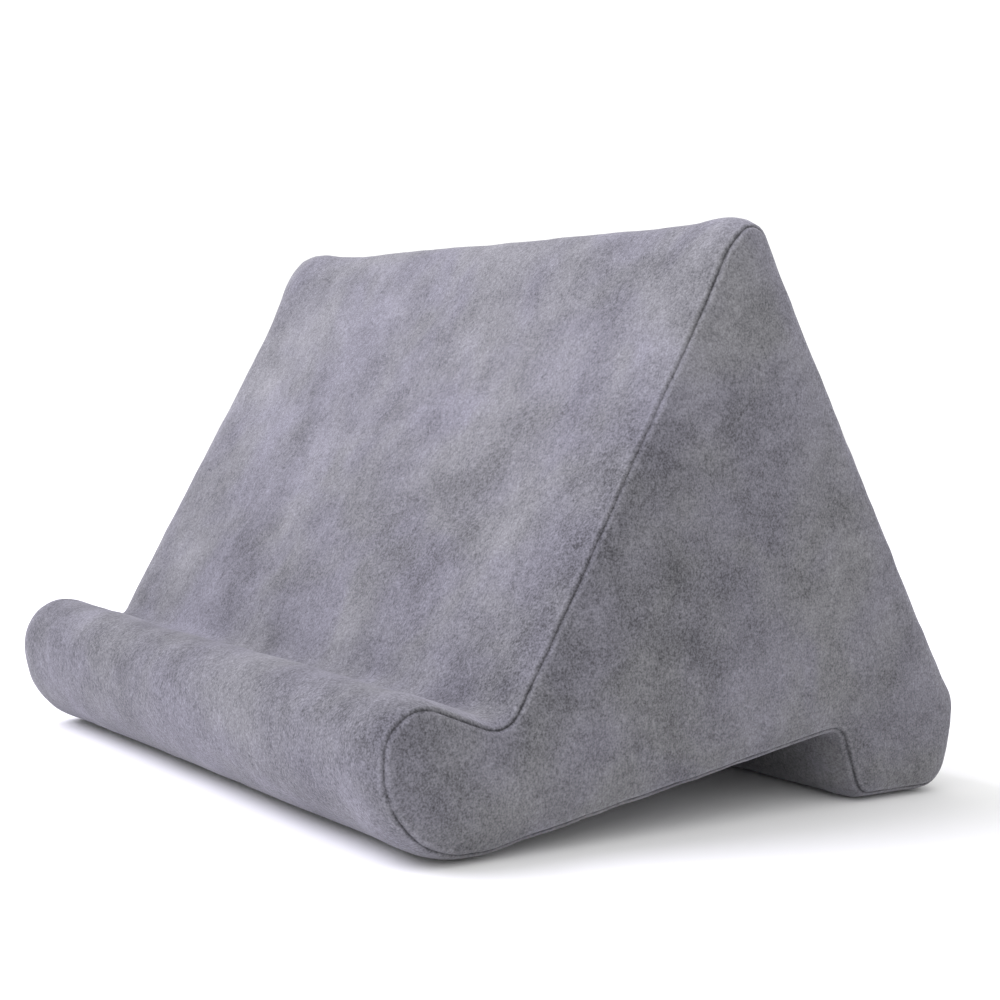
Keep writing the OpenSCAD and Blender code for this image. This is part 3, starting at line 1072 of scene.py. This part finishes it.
def velvet_material():
    """Short velvet pile: brushed patches, diagonal strokes, fine fibres and a few specks of lint, painted
    lighter towards the back, with painted shade in the seams' creases and a painted highlight on their
    rims.
    """
    m = Nodes("velvet", roughness=0.92)
    m.shader.inputs["Specular IOR Level"].default_value = 0.15
    m.shader.inputs["Sheen Weight"].default_value = 0.30
    m.shader.inputs["Sheen Roughness"].default_value = 0.45
    m.shader.inputs["Sheen Tint"].default_value = grey(0.88, 0.86, 0.96)
    fibres = m.noise(0.00032, detail=1.0, roughness=0.6)
    flecks = m.noise(0.0008, detail=2.0, roughness=0.6)
    brushed = m.mapped((1, 0.5, 0.8), (35, 20, 40))
    strokes = m.noise(0.0030, detail=2.0, roughness=0.6, bend=0.8, place=brushed)
    clumps = m.noise(0.0075, detail=2.0)
    patches = m.noise(0.026, detail=2.5)
    layers = [(fibres, 1.2), (flecks, 0.68), (strokes, 0.40), (clumps, 0.50), (patches, 0.90)]
    tone = 0.5
    for layer, weight in layers:
        tone = m.math("ADD", m.math("MULTIPLY", m.math("SUBTRACT", layer, 0.5), weight), tone)
    hue = m.ramp(m.noise(0.018, detail=2.0, bend=0.4), 0.35, 0.65)
    dark = m.mix(hue, grey(0.050, 0.050, 0.053), grey(0.050, 0.049, 0.055))
    light = m.mix(hue, grey(0.238, 0.236, 0.247), grey(0.233, 0.228, 0.263))
    # Painted light: the pile is painted lighter towards the back, in place of a fill light from there
    depth = m.node("ShaderNodeSeparateXYZ", {0: m.place}).outputs["Y"]
    tone = m.math("ADD", tone, m.math("MULTIPLY", depth, PAINTED_LIGHT_DRIFT))
    # Painted shade in the seams' creases, mixed towards near-black, and a painted highlight on their rims
    painted_seam_shading = m.node("ShaderNodeAttribute", attribute_name="painted_seam_shading").outputs["Fac"]
    tone = m.math("SUBTRACT", tone, m.math("MULTIPLY", painted_seam_shading, PAINTED_SEAM_TONE))
    colour = m.mix(tone, dark, light)
    colour = m.mix(m.math("MULTIPLY", painted_seam_shading, PAINTED_SEAM_DARK), colour, grey(0.02, 0.02, 0.022))
    lint = m.node("ShaderNodeTexVoronoi", {"Vector": m.place, "Scale": 62.0})
    near = m.math("LESS_THAN", lint.outputs["Distance"], 0.022)
    pick = m.node("ShaderNodeSeparateColor", {0: lint.outputs["Color"]}).outputs[0]
    few = m.math("GREATER_THAN", pick, 0.8)
    colour = m.mix(m.math("MULTIPLY", near, few), colour, grey(0.75, 0.74, 0.78))
    m.set("Base Color", colour)
    normal = m.bump(strokes, 0.0006, 0.4)
    m.set("Normal", m.bump(flecks, 0.0005, 0.4, m.bump(fibres, 0.0004, 0.5, normal)))
    return m.material


def foam_material():
    """Open-cell polyurethane foam."""
    m = Nodes("foam", roughness=0.85)
    cells = m.node("ShaderNodeTexVoronoi", {"Vector": m.place, "Scale": 700.0}).outputs["Distance"]
    tone = m.ramp(m.noise(0.012, detail=3.0), 0.35, 0.65)
    colour = m.mix(tone, grey(0.66, 0.65, 0.62), grey(0.74, 0.73, 0.70))
    # The darker spots at the cells' centres are painted shade in the foam's open pores
    m.set("Base Color", m.mix(m.ramp(cells, 0.1, 0.5), grey(0.44, 0.43, 0.41), colour))
    m.set("Normal", m.bump(cells, 0.0006, 0.8))
    return m.material


def thread_material():
    """Twisted sewing thread."""
    dark, light = grey(0.05, 0.05, 0.06), grey(0.17, 0.17, 0.20)
    m = Nodes("thread", roughness=0.55)
    m.shader.inputs["Sheen Weight"].default_value = 0.3
    twist = m.wave(900.0, bend=1.0, place=m.mapped(turn=(20, 35, 50)))
    fluff = m.noise(0.0006, detail=2.0)
    m.set("Base Color", m.mix(m.blend(twist, fluff, 0.4), dark, light))
    m.set("Normal", m.bump(twist, 0.0001, 0.7))
    return m.material


def tape_material():
    """Plain-woven polyester tape."""
    m = Nodes("zipper_tape", roughness=0.75)
    back_lean = math.degrees(math.atan2(BACK_WAY[1], BACK_WAY[0]))
    along = m.wave(420.0, bands="Z", place=m.mapped(turn=(90 - back_lean, 0, 0)))
    weave = m.math("MULTIPLY", m.wave(320.0), along)
    tone = m.blend(weave, m.noise(0.006), 0.3)
    m.set("Base Color", m.mix(tone, grey(0.085, 0.085, 0.10), grey(0.19, 0.19, 0.22)))
    m.set("Normal", m.bump(weave, 0.00015, 0.7))
    return m.material


def nylon_material():
    """Smooth nylon with a slight shine."""
    m = Nodes("zipper_nylon", roughness=0.32)
    tone = m.noise(0.004, detail=2.0)
    m.set("Base Color", m.mix(tone, grey(0.13, 0.13, 0.155), grey(0.20, 0.20, 0.235)))
    m.set("Roughness", m.ramp(m.noise(0.0015), 0.3, 0.7, 0.25, 0.42))
    return m.material


def metal_material():
    """Cast zinc with a satin nickel plating, worn smoother in places."""
    m = Nodes("zipper_metal", roughness=0.3, Metallic=1.0)
    wear = m.noise(0.003, detail=3.0)
    grain = m.noise(0.00025, detail=2.0)
    m.set("Base Color", m.mix(wear, grey(0.30, 0.30, 0.315), grey(0.46, 0.46, 0.47)))
    m.set("Roughness", m.ramp(wear, 0.35, 0.65, 0.24, 0.42))
    m.set("Normal", m.bump(grain, 0.00004, 0.35))
    return m.material


def satin_material():
    """White satin ribbon: long shining warp threads."""
    m = Nodes("label_satin", roughness=0.38)
    m.shader.inputs["Sheen Weight"].default_value = 0.25
    warp = m.wave(700.0, bend=0.4)
    tone = m.blend(warp, m.noise(0.008), 0.5)
    m.set("Base Color", m.mix(tone, grey(0.46, 0.46, 0.455), grey(0.62, 0.62, 0.61)))
    m.set("Normal", m.bump(warp, 0.00006, 0.5))
    return m.material


MATERIALS = {
    "velvet": velvet_material(),
    "foam": foam_material(),
    "thread": thread_material(),
    "zipper_tape": tape_material(),
    "zipper_nylon": nylon_material(),
    "zipper_metal": metal_material(),
    "label_satin": satin_material(),
}


def finish_piece(piece, slot):
    """Gives a new piece its material."""
    piece.data.materials.clear()
    piece.data.materials.append(MATERIALS[slot])
    return piece


# ---- The pieces ----

wrap = finish_piece(make_wrap(), "velvet")
panel_right = finish_piece(make_side_panel(1, "velvet_end_right", "side_panel_right"), "velvet")
panel_left = finish_piece(make_side_panel(-1, "velvet_end_left", "side_panel_left"), "velvet")
foam_block = finish_piece(make_foam(), "foam")
for side, word in ((1, "right"), (-1, "left")):
    finish_piece(make_seam_thread(side, f"seam_stitches_{word}", f"seam_thread_{word}"), "thread")
for side, word in ((1, "upper"), (-1, "lower")):
    woven = finish_piece(make_tape(side, f"tape_{word}", f"zipper_tape_{word}"), "zipper_tape")
    finish_piece(make_coil(side, f"coil_{word}", f"zipper_teeth_{word}"), "zipper_nylon")
    finish_piece(make_topstitch(side, f"stitches_{word}", f"topstitch_{word}"), "thread")
finish_piece(make_stops("top_stops", "zipper_top_stops", 1, -1), "zipper_metal")
finish_piece(make_stops("bottom_stop", "zipper_bottom_stop", 0), "zipper_metal")
finish_piece(make_slider(), "zipper_metal")
finish_piece(make_pull(), "zipper_metal")
label = finish_piece(make_label(), "label_satin")

# ---- Floor and light ----


KEY_COLOUR = (0.87, 0.85, 1.0)
WORLD_STRENGTH = 1.12


def make_floor():
    """A pale floor a hair below the stand, so that the two don't flicker."""
    mesh = bpy.data.meshes.new("floor")
    half, low = 6.0, -0.0004
    corners = [(-half, -half, low), (half, -half, low), (half, half, low), (-half, half, low)]
    mesh.from_pydata(corners, [], [(0, 1, 2, 3)])
    floor = bpy.data.objects.new("floor", mesh)
    bpy.context.scene.collection.objects.link(floor)
    paper = Nodes("floor_paper", roughness=0.9)
    paper.shader.inputs["Base Color"].default_value = grey(0.92, 0.92, 0.92)
    paper.shader.inputs["Specular IOR Level"].default_value = 0.1
    mesh.materials.append(paper.material)


def make_light(name, at, towards, size, power):
    """A round soft light."""
    data = bpy.data.lights.new(name, "AREA")
    data.shape = "DISK"
    data.size = size
    data.energy = power
    data.color = KEY_COLOUR
    light = bpy.data.objects.new(name, data)
    light.location = at
    light.rotation_euler = (Vector(towards) - Vector(at)).to_track_quat("-Z", "Y").to_euler()
    bpy.context.scene.collection.objects.link(light)


make_floor()
make_light("key", (-0.9, -1.5, 1.7), (0, 0, 0.08), 1.8, 68)
world = bpy.data.worlds.new("studio")
world.use_nodes = True
background = world.node_tree.nodes["Background"]
background.inputs["Color"].default_value = grey(1, 1, 1)
background.inputs["Strength"].default_value = WORLD_STRENGTH
bpy.context.scene.world = world
bpy.context.scene.view_settings.view_transform = "Standard"
